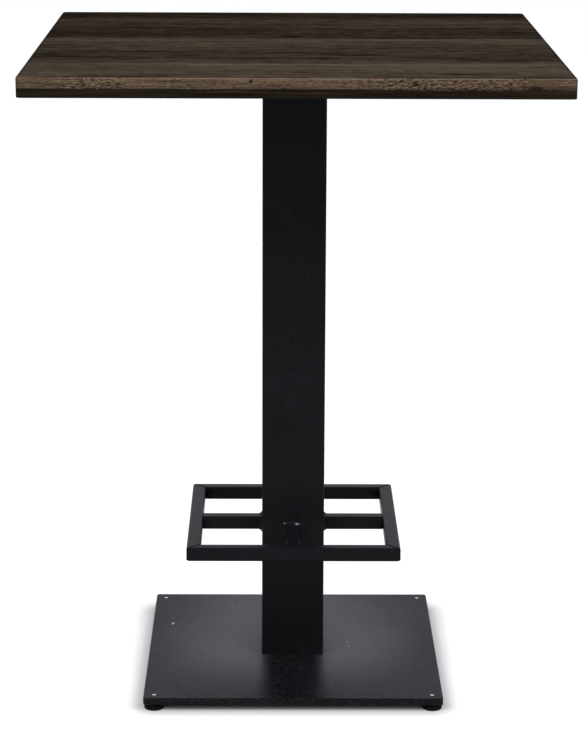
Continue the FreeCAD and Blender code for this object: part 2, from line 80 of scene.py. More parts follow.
# Fasteners
STUD_RADIUS = 4 * MM
THREAD_PITCH = 1.25 * MM
THREAD_DEPTH = 0.75 * MM
THREAD_STEPS = 10
THREAD_CREST = 0.125
THREAD_FLANK = 0.625
END_CHAMFER = 0.8 * MM
FLANGE_RADIUS = 7 * MM
FLANGE_THICKNESS = 3 * MM
FLANGE_EDGE = 0.4 * MM
COLLAR_RISE = 4.7 * MM
COLLAR_HEIGHT = 3.3 * MM
HEX_FLATS = 13 * MM
HEX_CHAMFER = math.tan(math.radians(30))
HEX_FACE = 0.94
BOLT_HEAD_HEIGHT = 5.3 * MM
WASHER_RADIUS = 8 * MM
SCREW_RADIUS = 2.5 * MM
SCREW_POINT = 2.2 * MM
SCREW_HEAD_RADIUS = 5 * MM
SCREW_HEAD_HEIGHT = 3.5 * MM
SCREW_HEAD_ROUND = 2 * MM
CROSS_LENGTH = 2.5 * MM
CROSS_HALF_WIDTH = 0.65 * MM
CROSS_DEPTH = 1.8 * MM
CROSS_TAPER = 0.6


def loft(rings, looped=False):
    """Points and faces of a skin over rings of equal count, capped at both ends unless looped."""
    count = len(rings[0])
    points = [point for ring in rings for point in ring]
    faces = []
    for number in range(len(rings) if looped else len(rings) - 1):
        here = number * count
        there = (number + 1) % len(rings) * count
        for step in range(count):
            after = (step + 1) % count
            faces.append((here + step, here + after, there + after, there + step))
    if not looped:
        faces.append(tuple(range(count)))
        faces.append(tuple(range(len(points) - count, len(points))))
    return points, faces


def merged(shapes):
    """Several shapes' points and faces as one."""
    points = []
    faces = []
    for more_points, more_faces in shapes:
        first = len(points)
        points.extend(more_points)
        faces.extend(tuple(first + corner for corner in face) for face in more_faces)
    return points, faces


def moved(shape, place):
    """A shape taken to another place by a vector."""
    points, faces = shape
    return [point + place for point in points], faces


def add_piece(name, shape, finish, body, *replaced):
    """A new piece on a body, in place of CAD nodes, with a finish."""
    points, faces = shape
    built = bmesh.new()
    corners = [built.verts.new(point) for point in points]
    for face in faces:
        built.faces.new([corners[corner] for corner in face])
    bmesh.ops.recalc_face_normals(built, faces=built.faces)
    mesh = bpy.data.meshes.new(name)
    built.to_mesh(mesh)
    built.free()
    mesh.shade_smooth()
    mesh.set_sharp_from_angle(angle=SHARP_ANGLE)
    mesh.materials.append(finish.material)
    piece = bpy.data.objects.new(name, mesh)
    bpy.context.scene.collection.objects.link(piece)
    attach(piece, body)
    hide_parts(*replaced)


def rounded_square(half, radius):
    """Points round a square with rounded corners."""
    inner = half - radius
    points = []
    for quarter in range(4):
        middle = (quarter + 0.5) * math.pi / 2
        corner = Vector((math.copysign(inner, math.cos(middle)), math.copysign(inner, math.sin(middle))))
        for step in range(CORNER_STEPS + 1):
            angle = (quarter + step / CORNER_STEPS) * math.pi / 2
            points.append(corner + radius * Vector((math.cos(angle), math.sin(angle))))
    return points


def square_path(half, radius):
    """Evenly spaced (point, outward normal, length travelled) round a square with rounded corners."""
    straight = 2 * (half - radius)
    side = straight + radius * math.pi / 2
    count = math.ceil(4 * side / BEAD_STEP)
    stations = []
    for number in range(count):
        travelled = 4 * side * number / count
        quarter = int(travelled / side)
        along = travelled - quarter * side
        angle = max(0, along - straight) / radius
        normal = Vector((math.cos(angle), math.sin(angle)))
        point = Vector((half - radius, min(along, straight) - straight / 2)) + radius * normal
        turn = Matrix.Rotation(quarter * math.pi / 2, 2)
        stations.append((turn @ point, turn @ normal, travelled))
    return stations, 4 * side


def bead_section(leg, travelled, pitch):
    """One section of a fillet bead as (out from the tube's wall, up from the plate's face) pairs."""
    section = [(-BEAD_SINK, -BEAD_SINK), (leg, -BEAD_SINK)]
    for step in range(BEAD_SECTION_STEPS + 1):
        share = step / BEAD_SECTION_STEPS
        middle = 4 * share * (1 - share)
        phase = (travelled + BEAD_CRESCENT * middle) / pitch
        ripple = BEAD_RIPPLE * abs(math.sin(math.pi * phase)) * math.sqrt(middle)
        swell = (ripple - BEAD_HOLLOW * middle) / math.sqrt(2)
        section.append((leg * (1 - share) + swell, leg * share + swell))
    section.append((-BEAD_SINK, leg))
    return section


def uneven(leg, point):
    """A bead's leg at a point: a hand-laid weld is never quite even, and never over its full size."""
    wander = noise.noise(Vector((point.x, point.y, 0)) * BEAD_UNEVEN_SCALE)
    return leg * (1 - BEAD_UNEVEN * (0.5 + 0.5 * wander))


def collar_bead(half, radius, leg, to_place):
    """A closed bead round a square tube where it meets a plate."""
    stations, length = square_path(half, radius)
    pitch = length / round(length / BEAD_PITCH)
    rings = []
    for point, normal, travelled in stations:
        ring = []
        for out, up in bead_section(uneven(leg, point), travelled, pitch):
            flat = point + normal * out
            ring.append(to_place @ Vector((flat.x, flat.y, up)))
        rings.append(ring)
    return loft(rings, looped=True)


def corner_bead(leg, low, high, corner, out_way, up_way):
    """An upright bead in the corner between two walls, with rounded ends."""
    count = math.ceil((high - low) / BEAD_STEP)
    rings = []
    for number in range(count + 1):
        share = number / count
        height = low + (high - low) * share
        ends = math.sqrt(max(0.0, 1 - abs(2 * share - 1) ** BEAD_END_POWER))
        swelling = BEAD_END_SHARE + (1 - BEAD_END_SHARE) * ends
        grown = uneven(leg, Vector((height, corner.x + corner.y))) * swelling
        ring = []
        for out, up in bead_section(grown, height, BEAD_PITCH):
            ring.append(Vector((corner.x, corner.y, height)) + out_way * out + up_way * up)
        rings.append(ring)
    return loft(rings)


def mitred_rail(half, reach, height, outward):
    """A square bar along one side of the footrest, its mitred ends eased into a seam."""
    along = UP.cross(outward)
    middle = reach - half
    sections = [(rounded_square(half - cut, TUBE_RADIUS - cut), back) for cut, back in SEAM]
    stations = [(-1, *section) for section in sections] + [(1, *section) for section in reversed(sections)]
    rings = []
    for end, section, back in stations:
        ring = []
        for out, up in section:
            far = end * (middle + out - back)
            ring.append(outward * (middle + out) + along * far + UP * (height + up))
        rings.append(ring)
    return loft(rings)


def turned(levels):
    """A closed piece of rings round the Z axis; a level's height or radius may depend on the angle."""
    rings = []
    for height, radius in levels:
        ring = []
        for step in range(ROUND_STEPS):
            angle = 2 * math.pi * step / ROUND_STEPS
            far = radius(angle) if callable(radius) else radius
            rise = height(angle) if callable(height) else height
            ring.append(Vector((far * math.cos(angle), far * math.sin(angle), rise)))
        rings.append(ring)
    return loft(rings)


def hex_radius(angle):
    """How far a hexagon's side is from its centre at an angle."""
    return HEX_FLATS / 2 / math.cos((angle + math.pi / 6) % (math.pi / 3) - math.pi / 6)


def hex_levels(low, high):
    """Levels of a hexagon with both faces chamfered."""
    face = HEX_FACE * HEX_FLATS / 2
    return [
        (low, face),
        (lambda angle: low + (hex_radius(angle) - face) * HEX_CHAMFER, hex_radius),
        (lambda angle: high - (hex_radius(angle) - face) * HEX_CHAMFER, hex_radius),
        (high, face),
    ]


def thread_radius(height, top):
    """The radius of a right-hand thread with a chamfered end at a height, as a function of the angle."""
    limit = STUD_RADIUS - max(0, height - (top - END_CHAMFER))

    def at(angle):
        turn = (height / THREAD_PITCH - angle / (2 * math.pi)) % 1
        wave = abs(2 * turn - 1)
        cut = min(1, max(0, (wave - THREAD_CREST) / THREAD_FLANK))
        return min(limit, STUD_RADIUS - THREAD_DEPTH * cut)

    return at


def thread_levels(low, high):
    """Levels of a threaded shank that ends in a chamfer."""
    count = math.ceil((high - low) / THREAD_PITCH * THREAD_STEPS)
    heights = [low + (high - low) * number / count for number in range(count + 1)]
    return [(height, thread_radius(height, high)) for height in heights]


def cross_radius(angle):
    """How far the wall of a cross recess is from its centre at an angle."""
    nearest = abs((angle + math.pi / 4) % (math.pi / 2) - math.pi / 4)
    if math.tan(nearest) * CROSS_LENGTH <= CROSS_HALF_WIDTH:
        return CROSS_LENGTH / math.cos(nearest)
    return CROSS_HALF_WIDTH / math.sin(nearest)


def screw_levels(low, high):
    """Levels of a pan-head wood screw with a cross recess, from the recess up to the point."""
    levels = [
        (low + CROSS_DEPTH, lambda angle: CROSS_TAPER * cross_radius(angle)),
        (low, cross_radius),
    ]
    middle = SCREW_HEAD_RADIUS - SCREW_HEAD_ROUND
    for step in range(CORNER_STEPS + 1):
        angle = math.pi / 2 * step / CORNER_STEPS
        rise = SCREW_HEAD_ROUND * (1 - math.cos(angle))
        levels.append((low + rise, middle + SCREW_HEAD_ROUND * math.sin(angle)))
    levels.append((low + SCREW_HEAD_HEIGHT, SCREW_HEAD_RADIUS))
    levels.append((low + SCREW_HEAD_HEIGHT, SCREW_RADIUS))
    levels.append((high - SCREW_POINT, SCREW_RADIUS))
    levels.append((high, SCREW_RADIUS - SCREW_POINT))
    return levels


def corner_places(low, high, inset):
    """The four corner places of a pattern that fills a box."""
    across = (low.x + inset, high.x - inset)
    along = (low.y + inset, high.y - inset)
    return [Vector((x, y, 0)) for y in along for x in across]


# The share of a spot's size that has its full strength
SPOT_CORE = 0.35


class Finish:
    """A procedural material for one of the model's material slots."""

    def __init__(self, name, slot, roughness, specular, metallic=0.0):
        self.slot = slot
        self.material = bpy.data.materials.new(name)
        self.material.use_nodes = True
        self.nodes = self.material.node_tree.nodes
        self.links = self.material.node_tree.links
        self.shader = self.nodes["Principled BSDF"]
        self.shader.inputs["Roughness"].default_value = roughness
        self.shader.inputs["Specular IOR Level"].default_value = specular
        self.shader.inputs["Metallic"].default_value = metallic
        self.place = self.node("TexCoord").outputs["Object"]

    def feed(self, socket, value):
        """A socket takes another node's output, or a plain value."""
        if isinstance(value, bpy.types.NodeSocket):
            self.links.new(value, socket)
        else:
            socket.default_value = value

    def node(self, kind, *inputs, **settings):
        """A new node with its settings and its first inputs."""
        made = self.nodes.new("ShaderNode" + kind)
        for name, value in settings.items():
            setattr(made, name, value)
        for socket, value in zip(made.inputs, inputs):
            self.feed(socket, value)
        return made

    def math(self, operation, *values):
        return self.node("Math", *values, operation=operation).outputs[0]

    def axes(self):
        """The X, Y and Z of a point on the object."""
        return self.node("SeparateXYZ", self.place).outputs

    def spot(self, place, centre, halves):
        """1 in the middle of a spot and 0 outside it; an axis with no half width is left out."""
        scale = Vector([1 / half if half else 0 for half in halves])
        shift = -scale * Vector(centre)
        nearby = self.node("Mapping", place, shift, (0, 0, 0), scale).outputs[0]
        away = self.node("VectorMath", nearby, operation="LENGTH").outputs["Value"]
        return self.spread(away, SPOT_CORE, 1.0, 1.0, 0.0)

    def shifted(self, place, amount, way):
        """A place moved by an amount along a way."""
        step = self.node("VectorMath", way, operation="SCALE")
        self.feed(step.inputs["Scale"], amount)
        return self.node("VectorMath", place, step.outputs[0], operation="ADD").outputs[0]

    def noise(self, place, scale, detail, roughness):
        made = self.node("TexNoise")
        self.feed(made.inputs["Vector"], place)
        self.feed(made.inputs["Scale"], scale)
        self.feed(made.inputs["Detail"], detail)
        self.feed(made.inputs["Roughness"], roughness)
        return made.outputs[0]

    def grain(self, place, repeats, detail=2.0, roughness=0.5):
        """Noise drawn out along an axis, as a layer of wood grain is."""
        drawn = self.node("Mapping", place, (0, 0, 0), (0, 0, 0), repeats).outputs[0]
        return self.noise(drawn, 1.0, detail, roughness)

    def ramp(self, value, stops, interpolation="LINEAR"):
        """A colour for a value; a stop is (position, colour or grey)."""
        made = self.node("ValToRGB", value)
        made.color_ramp.interpolation = interpolation
        elements = made.color_ramp.elements
        while len(elements) < len(stops):
            elements.new(1.0)
        for element, (position, colour) in zip(elements, stops):
            element.position = position
            element.color = (*colour, 1) if isinstance(colour, tuple) else (colour, colour, colour, 1)
        return made.outputs[0]

    def spread(self, value, low, high, to_low=0.0, to_high=1.0):
        """A value's range taken smoothly to another range."""
        made = self.node("MapRange", value, low, high, to_low, to_high, interpolation_type="SMOOTHSTEP")
        return made.outputs[0]

    def mix(self, share, first, second, blend="MIX"):
        return self.node("MixRGB", share, first, second, blend_type=blend).outputs[0]

    def bump(self, height, strength, distance):
        made = self.node("Bump")
        self.feed(made.inputs["Height"], height)
        made.inputs["Strength"].default_value = strength
        made.inputs["Distance"].default_value = distance
        self.feed(self.shader.inputs["Normal"], made.outputs[0])

    def colour(self, value):
        self.feed(self.shader.inputs["Base Color"], value)

    def roughness(self, value):
        self.feed(self.shader.inputs["Roughness"], value)


# Boards of the top from front to back: (start as a share of the depth, tone in front, tone behind)
BOARDS = (
    (0.0, 0.68, 0.73),
    (0.1375, 0.73, 0.87),
    (0.181, 0.72, 0.46),
    (0.269, 0.45, 0.53),
    (0.3625, 0.53, 0.57),
    (0.45, 0.59, 0.78),
    (0.5475, 0.50, 0.37),
    (0.6125, 0.36, 0.42),
    (0.7375, 0.43, 0.60),
    (0.8625, 0.56, 0.28),
    (0.925, 0.25, 0.24),
)
BOARD_JOINT = 0.0006
GOLDEN_SHARE = 0.618

# How far the grain differs from board to board, and wanders within one, in metres
BOARD_SHIFT = 23.0
GRAIN_DRIFT = 30 * MM
CHECK_RAGGED = 8 * MM

# Where one look of the top gives way to the next, measured in from a face, an edge or the seam
END_BLEND = (2.2 * MM, 0.5 * MM)
LOW_BLEND = (1 * MM, 10 * MM)
# Painted highlight along the arris: the depths under the upper face between which it fades in
ARRIS_HIGHLIGHT_BLEND = (2.6 * MM, 1.4 * MM)
FACE_BLEND = (1.0 * MM, 0.3 * MM)
# Painted shade along the side and back edges of the upper face, none at the front: how far in from an edge
# it fades, and the share of the tone left at the edge
RIM_SHADE_BLEND = (3 * MM, 8 * MM)
RIM_PAINTED_SHADE = 0.62

# Dark checks and patches in the upper face, in millimetres: (x, y, half length, half width, depth of tone)
CHECKS = (
    (-4, 68, 26, 10, 1.0),
    (-167, -165, 40, 8, 0.35),
    (41, -192, 34, 9, 0.6),
    (249, -185, 10, 7, 0.5),
    (362, -87, 34, 9, 0.14),
    (348, -143, 26, 5, 0.2),
    (-361, 111, 30, 9, 0.16),
    (-229, 92, 14, 4, 0.2),
)
# A worm hole in the front edge, with no cavity in the mesh: a dark spot stands for it, its painted shade
WORM_HOLE = (-65 * MM, 5.1 * MM)
WORM_HOLE_RADIUS = 3.1 * MM
HOLE_PAINTED_SHADE = (0.002, 0.0015, 0.001, 1)

# Places along the edge where the grain curls, in millimetres: (middle, half length, slant)
EDGE_CURLS = ((-290, 60, -0.2), (190, 120, -0.24), (285, 65, 0.1))
EDGE_SLANT = -0.07

# The edge's tone, and a calm stretch of it with a smudge: (middle, half length) in metres
EDGE_TONE = 0.695
CALM = (350 * MM, 30 * MM)
CALM_TONE = (0.62, 0.62, 0.62, 1)
SMUDGE = (340 * MM, 14 * MM)
SMUDGE_RISE = 2 * MM
SMUDGE_HEIGHT = 4 * MM

# Layers of grain: how often each repeats in a metre along X, Y and Z
TOP_GRAIN = {
    "drift": (3.5, 14, 14),
    "broad": (1.8, 28, 28),
    "streaks": (7, 240, 240),
    "fibres": (26, 1100, 1100),
    "pores": (75, 1500, 1500),
    "flecks": (6, 75, 75),
    "rays": (42, 70, 70),
    # patches that break up the painted highlight along the arris
    "arris_highlight_patches": (9, 9, 0),
}
EDGE_GRAIN = {
    "warp": (75, 75, 130),
    "strokes": (140, 140, 580),
    "dashes": (70, 70, 620),
    "fibres": (20, 20, 900),
    "streaks": (9, 9, 300),
    "dark": (9, 9, 330),
    "waves": (14, 14, 14),
    "teeth": (160, 160, 420),
}
END_GRAIN = {"wobble": (1, 90, 90), "pores": (60, 900, 900)}
UNDERSIDE_GRAIN = {"broad": (2.5, 45, 45), "fine": (12, 520, 520)}

# Growth rings of the sawn ends
HEART_HEIGHT = 0.985
HEART_SPREAD = 0.16
RING_WOBBLE = 6 * MM
RING_PHASE = 2300.0

# Line between the pale and the dark wood, ragged towards the right: (added there, everywhere)
RAGGED_FROM = 100 * MM
RAGGED_AT = 220 * MM
LINE_WAVE = (6 * MM, 1.5 * MM)
LINE_TOOTH = (9 * MM, 1 * MM)
LINE_SOFT = (2.8 * MM, 0.6 * MM)

OAK_TOP = (
    (0.0, (0.0022, 0.0008, 0.0002)),
    (0.3, (0.0172, 0.0110, 0.0060)),
    (0.54, (0.0435, 0.0318, 0.0212)),
    (0.69, (0.0640, 0.0490, 0.0336)),
    (0.84, (0.0850, 0.0632, 0.0415)),
    (1.0, (0.115, 0.087, 0.058)),
)
OAK_EDGE = (
    (0.0, (0.014, 0.008, 0.005)),
    (0.3, (0.043, 0.026, 0.0155)),
    (0.55, (0.092, 0.0595, 0.0365)),
    (0.8, (0.155, 0.105, 0.0665)),
    (1.0, (0.210, 0.149, 0.099)),
)
# Colour of the painted highlight along the top's arris
ARRIS_HIGHLIGHT_COLOUR = (0.190, 0.142, 0.104, 1)
UNDERLAYER = (
    (0.0, (0.0050, 0.0035, 0.0025)),
    (0.5, (0.0185, 0.0132, 0.0093)),
    (1.0, (0.037, 0.0270, 0.0192)),
)
BLACK_COAT = (
    (0.0, (0.0036, 0.0035, 0.0043)),
    (0.5, (0.0086, 0.0084, 0.0104)),
    (1.0, (0.032, 0.032, 0.037)),
)
# The base plate's coat from black to pale, under its dusting and painted sheen
DUST_AND_SHEEN_COAT = (
    (0.0, (0.0040, 0.0040, 0.0052)),
    (1.0, (0.137, 0.137, 0.154)),
)

# Pale marks in the coat, in millimetres: (place, half sizes, how pale). On the front arm they are painted
# glints on the top of its weld and a painted highlight down its left edge; on the base plate, chipped spots
# of uncoated steel
PAINTED_WELD_GLINTS = (
    ((-14.5, -55, 252.5), (3.2, 6, 2.2), 1.0),
    ((6.5, -55, 252), (5, 6, 1.8), 0.6),
    ((-14.5, -56, 231), (1.2, 5, 10), 0.3),
)
PLATE_CHIPS = (
    ((-204.7, 92.7, 22), (3.6, 6.5, 2), 1.0),
    ((-104.7, 175.7, 22), (2.5, 5, 2), 0.35),
    ((92.7, 5, 22), (1.8, 5, 2), 0.8),
    ((93.8, -10.6, 22), (1.8, 5, 2), 0.4),
)
# Colour of the uncoated steel in the plate's chipped spots, and of the painted glints and highlight on the
# arm
BARE_STEEL_AND_GLINT = (0.50, 0.50, 0.51, 1)

# Patterns of the coat: how often each repeats in a metre
CLOUD_SCALE = 7
MOTTLE_SCALE = 210
PEEL_SCALE = 420
SPECK_SCALE = 620
GLOSS_SWING = 0.02

# Rough seams of the footrest: half width, start from the middle, and upper limit, each as it fades
SEAM_WIDTH = (1.5 * MM, 3.5 * MM)
SEAM_START = (136 * MM, 140 * MM)
SEAM_TOP = (260 * MM, 270 * MM)
SEAM_ROUGHNESS = 0.9

# Dust and a painted sheen on the base plate: a long pale spot round the column; darker in line with it, a
# painted reflection of the column, and at the front, a painted shade
DUST_AND_SHEEN_MIDDLE = -4 * MM
DUST_AND_SHEEN_HALVES = (250 * MM, 430 * MM, 0)
PAINTED_REFLECTION_SPAN = (30 * MM, 62 * MM)
PAINTED_REFLECTION_SHARE = 0.06
FRONT_SHADE_SPAN = (-250 * MM, 30 * MM)

ZINC = ((0.3, (0.56, 0.57, 0.60)), (0.7, (0.72, 0.71, 0.68)))
ZINC_CLOUD_SCALE = 240
ZINC_SCRATCHES = (900, 900, 4000)
PLASTIC = ((0.3, (0.003, 0.003, 0.003)), (0.75, (0.009, 0.009, 0.0085)))
PLASTIC_GRIT_SCALE = 2600
PLASTIC_SCUFFS = (300, 300, 60)


def centred(finish, value, weight):
    """A pattern's swing about its middle, times a weight."""
    return finish.math("MULTIPLY", finish.math("SUBTRACT", value, 0.5), weight)


def layered(finish, tone, *layers):
    """A tone with patterns laid over it, each a (pattern, weight) pair."""
    for pattern, weight in layers:
        tone = finish.math("ADD", tone, centred(finish, pattern, weight))
    return tone


def board_tones():
    """Stops of the tone across the top: each board shades from its front to its back."""
    ends = [start for start, near, far in BOARDS[1:]] + [1.0]
    stops = []
    for (start, near, far), end in zip(BOARDS, ends):
        stops.append((start + BOARD_JOINT, near))
        stops.append((end - BOARD_JOINT, far))
    return stops


def side_grain(finish, seam):
    """Tone of the boards' long edges: short slanting strokes that curl up in places."""
    x, y, z = finish.axes()
    curl = 0.0
    swing = finish.math("MULTIPLY", x, EDGE_SLANT)
    for middle, half_length, slant in EDGE_CURLS:
        near = finish.spot(finish.place, (middle * MM, 0, 0), (half_length * MM, 0, 0))
        curl = finish.math("MAXIMUM", curl, near)
        tilt = finish.math("MULTIPLY", finish.math("SUBTRACT", x, middle * MM), slant)
        swing = finish.math("ADD", swing, finish.math("MULTIPLY", near, tilt))
    warp = finish.grain(finish.place, EDGE_GRAIN["warp"], detail=1)
    reach = finish.math("MULTIPLY_ADD", curl, 5 * MM, 1 * MM)
    swing = layered(finish, swing, (warp, reach))
    curled = finish.shifted(finish.place, swing, (0, 0, 1))
    strokes = finish.grain(curled, EDGE_GRAIN["strokes"], detail=2)
    dashes = finish.grain(curled, EDGE_GRAIN["dashes"], detail=1)
    fibres = finish.grain(curled, EDGE_GRAIN["fibres"], detail=2)
    streaks = finish.grain(finish.place, EDGE_GRAIN["streaks"], detail=3)
    stroke_weight = finish.math("MULTIPLY_ADD", curl, 2.0, 1.05)
    tone = layered(finish, EDGE_TONE, (strokes, stroke_weight), (streaks, 0.9), (fibres, 0.9))
    dash_weight = finish.math("MULTIPLY_ADD", curl, 0.28, 0.15)
    dashes = finish.math("MULTIPLY", finish.spread(dashes, 0.56, 0.68), dash_weight)
    tone = finish.math("SUBTRACT", tone, dashes)
    calm = finish.spot(finish.place, (CALM[0], 0, 0), (CALM[1], 0, 0))
    tone = finish.mix(finish.math("MULTIPLY", calm, 0.75), tone, CALM_TONE)
    smudge = finish.spot(finish.place, (SMUDGE[0], 0, seam + SMUDGE_RISE), (SMUDGE[1], 0, SMUDGE_HEIGHT))
    return finish.math("SUBTRACT", tone, finish.math("MULTIPLY", smudge, 0.4))


def end_grain(finish, board):
    """Tone of the boards' sawn ends: growth rings round a heart that differs from board to board."""
    heart = finish.shifted(finish.place, centred(finish, board, HEART_SPREAD), (0, 1, 0.4))
    flat = finish.node("Mapping", heart, (0, 0, -HEART_HEIGHT), (0, 0, 0), (0, 1, 1)).outputs[0]
    away = finish.node("VectorMath", flat, operation="LENGTH").outputs["Value"]
    wobble = finish.grain(finish.place, END_GRAIN["wobble"], detail=2)
    bent = layered(finish, away, (wobble, RING_WOBBLE))
    rings = finish.math("SINE", finish.math("MULTIPLY", bent, RING_PHASE))
    pores = finish.grain(finish.place, END_GRAIN["pores"], detail=2)
    tone = finish.math("MULTIPLY_ADD", rings, 0.09, 0.36)
    return layered(finish, tone, (pores, 0.7), (board, 0.16))


def dark_line(finish, height):
    """1 above the ragged line between the pale and the dark wood of the edge, and 0 below it."""
    x, y, z = finish.axes()
    right = finish.spread(x, RAGGED_FROM, RAGGED_AT)
    waves = finish.grain(finish.place, EDGE_GRAIN["waves"], detail=1)
    teeth = finish.grain(finish.place, EDGE_GRAIN["teeth"], detail=2, roughness=0.6)
    wave_height = finish.math("MULTIPLY_ADD", right, *LINE_WAVE)
    tooth_height = finish.math("MULTIPLY_ADD", right, *LINE_TOOTH)
    uneven_by = finish.math("ADD", centred(finish, waves, wave_height), centred(finish, teeth, tooth_height))
    line = finish.math("ADD", height, uneven_by)
    soft = finish.math("MULTIPLY_ADD", right, *LINE_SOFT)
    above = finish.math("DIVIDE", finish.math("SUBTRACT", z, line), soft)
    return finish.spread(above, -1.0, 1.0)


def edge_colour(finish, seam, half, board):
    """Pale oak over dark wood, as on all four edges of the top."""
    x, y, z = finish.axes()
    at_end = finish.spread(finish.math("ABSOLUTE", x), half - END_BLEND[0], half - END_BLEND[1])
    tone = finish.mix(at_end, side_grain(finish, seam), end_grain(finish, board))
    low = finish.spread(z, seam + LOW_BLEND[0], seam + LOW_BLEND[1], 1.0, 0.0)
    tone = finish.math("SUBTRACT", tone, finish.math("MULTIPLY", low, 0.14))
    pale = finish.ramp(tone, OAK_EDGE)
    muted = finish.math("MULTIPLY_ADD", low, -0.18, 1.0)
    pale = finish.node("HueSaturation", 0.5, muted, 1.0, 1.0, pale).outputs[0]
    grain = finish.grain(finish.place, EDGE_GRAIN["dark"], detail=3)
    dark = finish.ramp(layered(finish, 0.5, (grain, 1.7)), UNDERLAYER)
    return finish.mix(dark_line(finish, seam), dark, pale)


def board_number(finish, half):
    """How far back a point is, as a share of the depth, and a value that tells its board apart."""
    x, y, z = finish.axes()
    depth = finish.math("MULTIPLY_ADD", y, 0.5 / half, 0.5)
    stops = [(row[0], number * GOLDEN_SHARE % 1) for number, row in enumerate(BOARDS)]
    return depth, finish.ramp(depth, stops, "CONSTANT")


def make_oak(top, seam, half):
    """Smoked oak boards with a matt oil: dark, streaked faces and paler cut edges."""
    oak = Finish("smoked_oak_boards", "smoked_oak", roughness=0.8, specular=0.003)
    x, y, z = oak.axes()
    depth, board = board_number(oak, half)
    tone = oak.ramp(depth, board_tones())
    place = oak.shifted(oak.place, oak.math("MULTIPLY", board, BOARD_SHIFT), (1, 0, 1))
    drift = oak.grain(place, TOP_GRAIN["drift"], detail=1)
    place = oak.shifted(place, centred(oak, drift, GRAIN_DRIFT), (0, 1, 0))
    broad = oak.grain(place, TOP_GRAIN["broad"], detail=4, roughness=0.6)
    streaks = oak.grain(place, TOP_GRAIN["streaks"], detail=4, roughness=0.62)
    fibres = oak.grain(place, TOP_GRAIN["fibres"], detail=3, roughness=0.6)
    pores = oak.grain(place, TOP_GRAIN["pores"], detail=1)
    flecks = oak.grain(place, TOP_GRAIN["flecks"], detail=2)
    rays = oak.grain(place, TOP_GRAIN["rays"], detail=2, roughness=0.65)
    tone = layered(oak, tone, (rays, 0.7), (broad, 0.9), (streaks, 0.5), (fibres, 0.4))
    tone = oak.math("SUBTRACT", tone, oak.spread(pores, 0.60, 0.72, 0.0, 0.16))
    tone = oak.math("SUBTRACT", tone, oak.spread(flecks, 0.58, 0.72, 0.0, 0.42))
    ragged = oak.shifted(oak.place, centred(oak, streaks, CHECK_RAGGED), (3, 1, 0))
    for mark_x, mark_y, half_length, half_width, darker in CHECKS:
        mark = oak.spot(ragged, (mark_x * MM, mark_y * MM, 0), (half_length * MM, half_width * MM, 0))
        tone = oak.math("SUBTRACT", tone, oak.math("MULTIPLY", mark, darker))
    face = oak.ramp(tone, OAK_TOP)
    to_side = oak.math("SUBTRACT", half, oak.math("ABSOLUTE", x))
    to_back = oak.math("SUBTRACT", half, y)
    # Painted shade along the side and back edges of the upper face
    rim_shade = oak.spread(oak.math("MINIMUM", to_side, to_back), *RIM_SHADE_BLEND, RIM_PAINTED_SHADE, 1.0)
    face = oak.mix(1.0, face, rim_shade, "MULTIPLY")
    edge = edge_colour(oak, seam, half, board)
    # Painted highlight along the arris of all four edges, in patches
    highlight_patches = oak.spread(oak.grain(oak.place, TOP_GRAIN["arris_highlight_patches"], detail=3), 0.40, 0.60)
    arris_highlight = oak.math("MULTIPLY", oak.spread(z, top - ARRIS_HIGHLIGHT_BLEND[0], top - ARRIS_HIGHLIGHT_BLEND[1]), highlight_patches)
    edge = oak.mix(arris_highlight, edge, ARRIS_HIGHLIGHT_COLOUR)
    # The worm hole is only a dark spot, its painted shade
    hole = oak.spot(oak.place, (WORM_HOLE[0], -half, top - WORM_HOLE[1]), (WORM_HOLE_RADIUS,) * 3)
    edge = oak.mix(hole, edge, HOLE_PAINTED_SHADE)
    above = oak.spread(z, top - FACE_BLEND[0], top - FACE_BLEND[1])
    oak.colour(oak.mix(above, edge, face))
    oak.roughness(oak.spread(streaks, 0.3, 0.7, 0.72, 0.9))
    oak.bump(layered(oak, fibres, (streaks, 0.6)), 0.25, 0.6 * MM)
    return oak


def make_underlayer(bottom, seam, half):
    """Near-black stained wood under the oak boards."""
    dark = Finish("dark_stained_wood", "dark_underlayer", roughness=0.8, specular=0.02)
    x, y, z = dark.axes()
    depth, board = board_number(dark, half)
    broad = dark.grain(dark.place, UNDERSIDE_GRAIN["broad"], detail=4, roughness=0.6)
    fine = dark.grain(dark.place, UNDERSIDE_GRAIN["fine"], detail=3)
    face = dark.ramp(layered(dark, 0.45, (broad, 1.3), (fine, 0.8)), UNDERLAYER)
    below = dark.spread(z, bottom + FACE_BLEND[1], bottom + FACE_BLEND[0], 1.0, 0.0)
    dark.colour(dark.mix(below, edge_colour(dark, seam, half, board), face))
    dark.roughness(dark.spread(fine, 0.3, 0.7, 0.7, 0.9))
    dark.bump(fine, 0.2, 0.5 * MM)
    return dark


def seams(coat):
    """1 along the mitre seams of the footrest, where the coat is rough."""
    x, y, z = coat.axes()
    far_x = coat.math("ABSOLUTE", x)
    far_y = coat.math("ABSOLUTE", y)
    apart = coat.math("ABSOLUTE", coat.math("SUBTRACT", far_x, far_y))
    near = coat.spread(apart, *SEAM_WIDTH, 1.0, 0.0)
    outside = coat.spread(coat.math("MAXIMUM", far_x, far_y), *SEAM_START)
    low = coat.spread(z, *SEAM_TOP, 1.0, 0.0)
    return coat.math("MULTIPLY", near, coat.math("MULTIPLY", outside, low))


def plate_dust_and_sheen(coat):
    """Dusting and painted sheen of the base plate: most on both sides of the column, and least in line with
    it, a painted reflection of the column, and at its front, a painted shade.
    """
    x, y, z = coat.axes()
    beside = coat.spread(coat.math("ABSOLUTE", x), *PAINTED_REFLECTION_SPAN, PAINTED_REFLECTION_SHARE, 1.0)
    behind = coat.spread(y, *FRONT_SHADE_SPAN)
    around = coat.spot(coat.place, (DUST_AND_SHEEN_MIDDLE, 0, 0), DUST_AND_SHEEN_HALVES)
    return coat.math("MULTIPLY", around, coat.math("MULTIPLY", behind, beside))


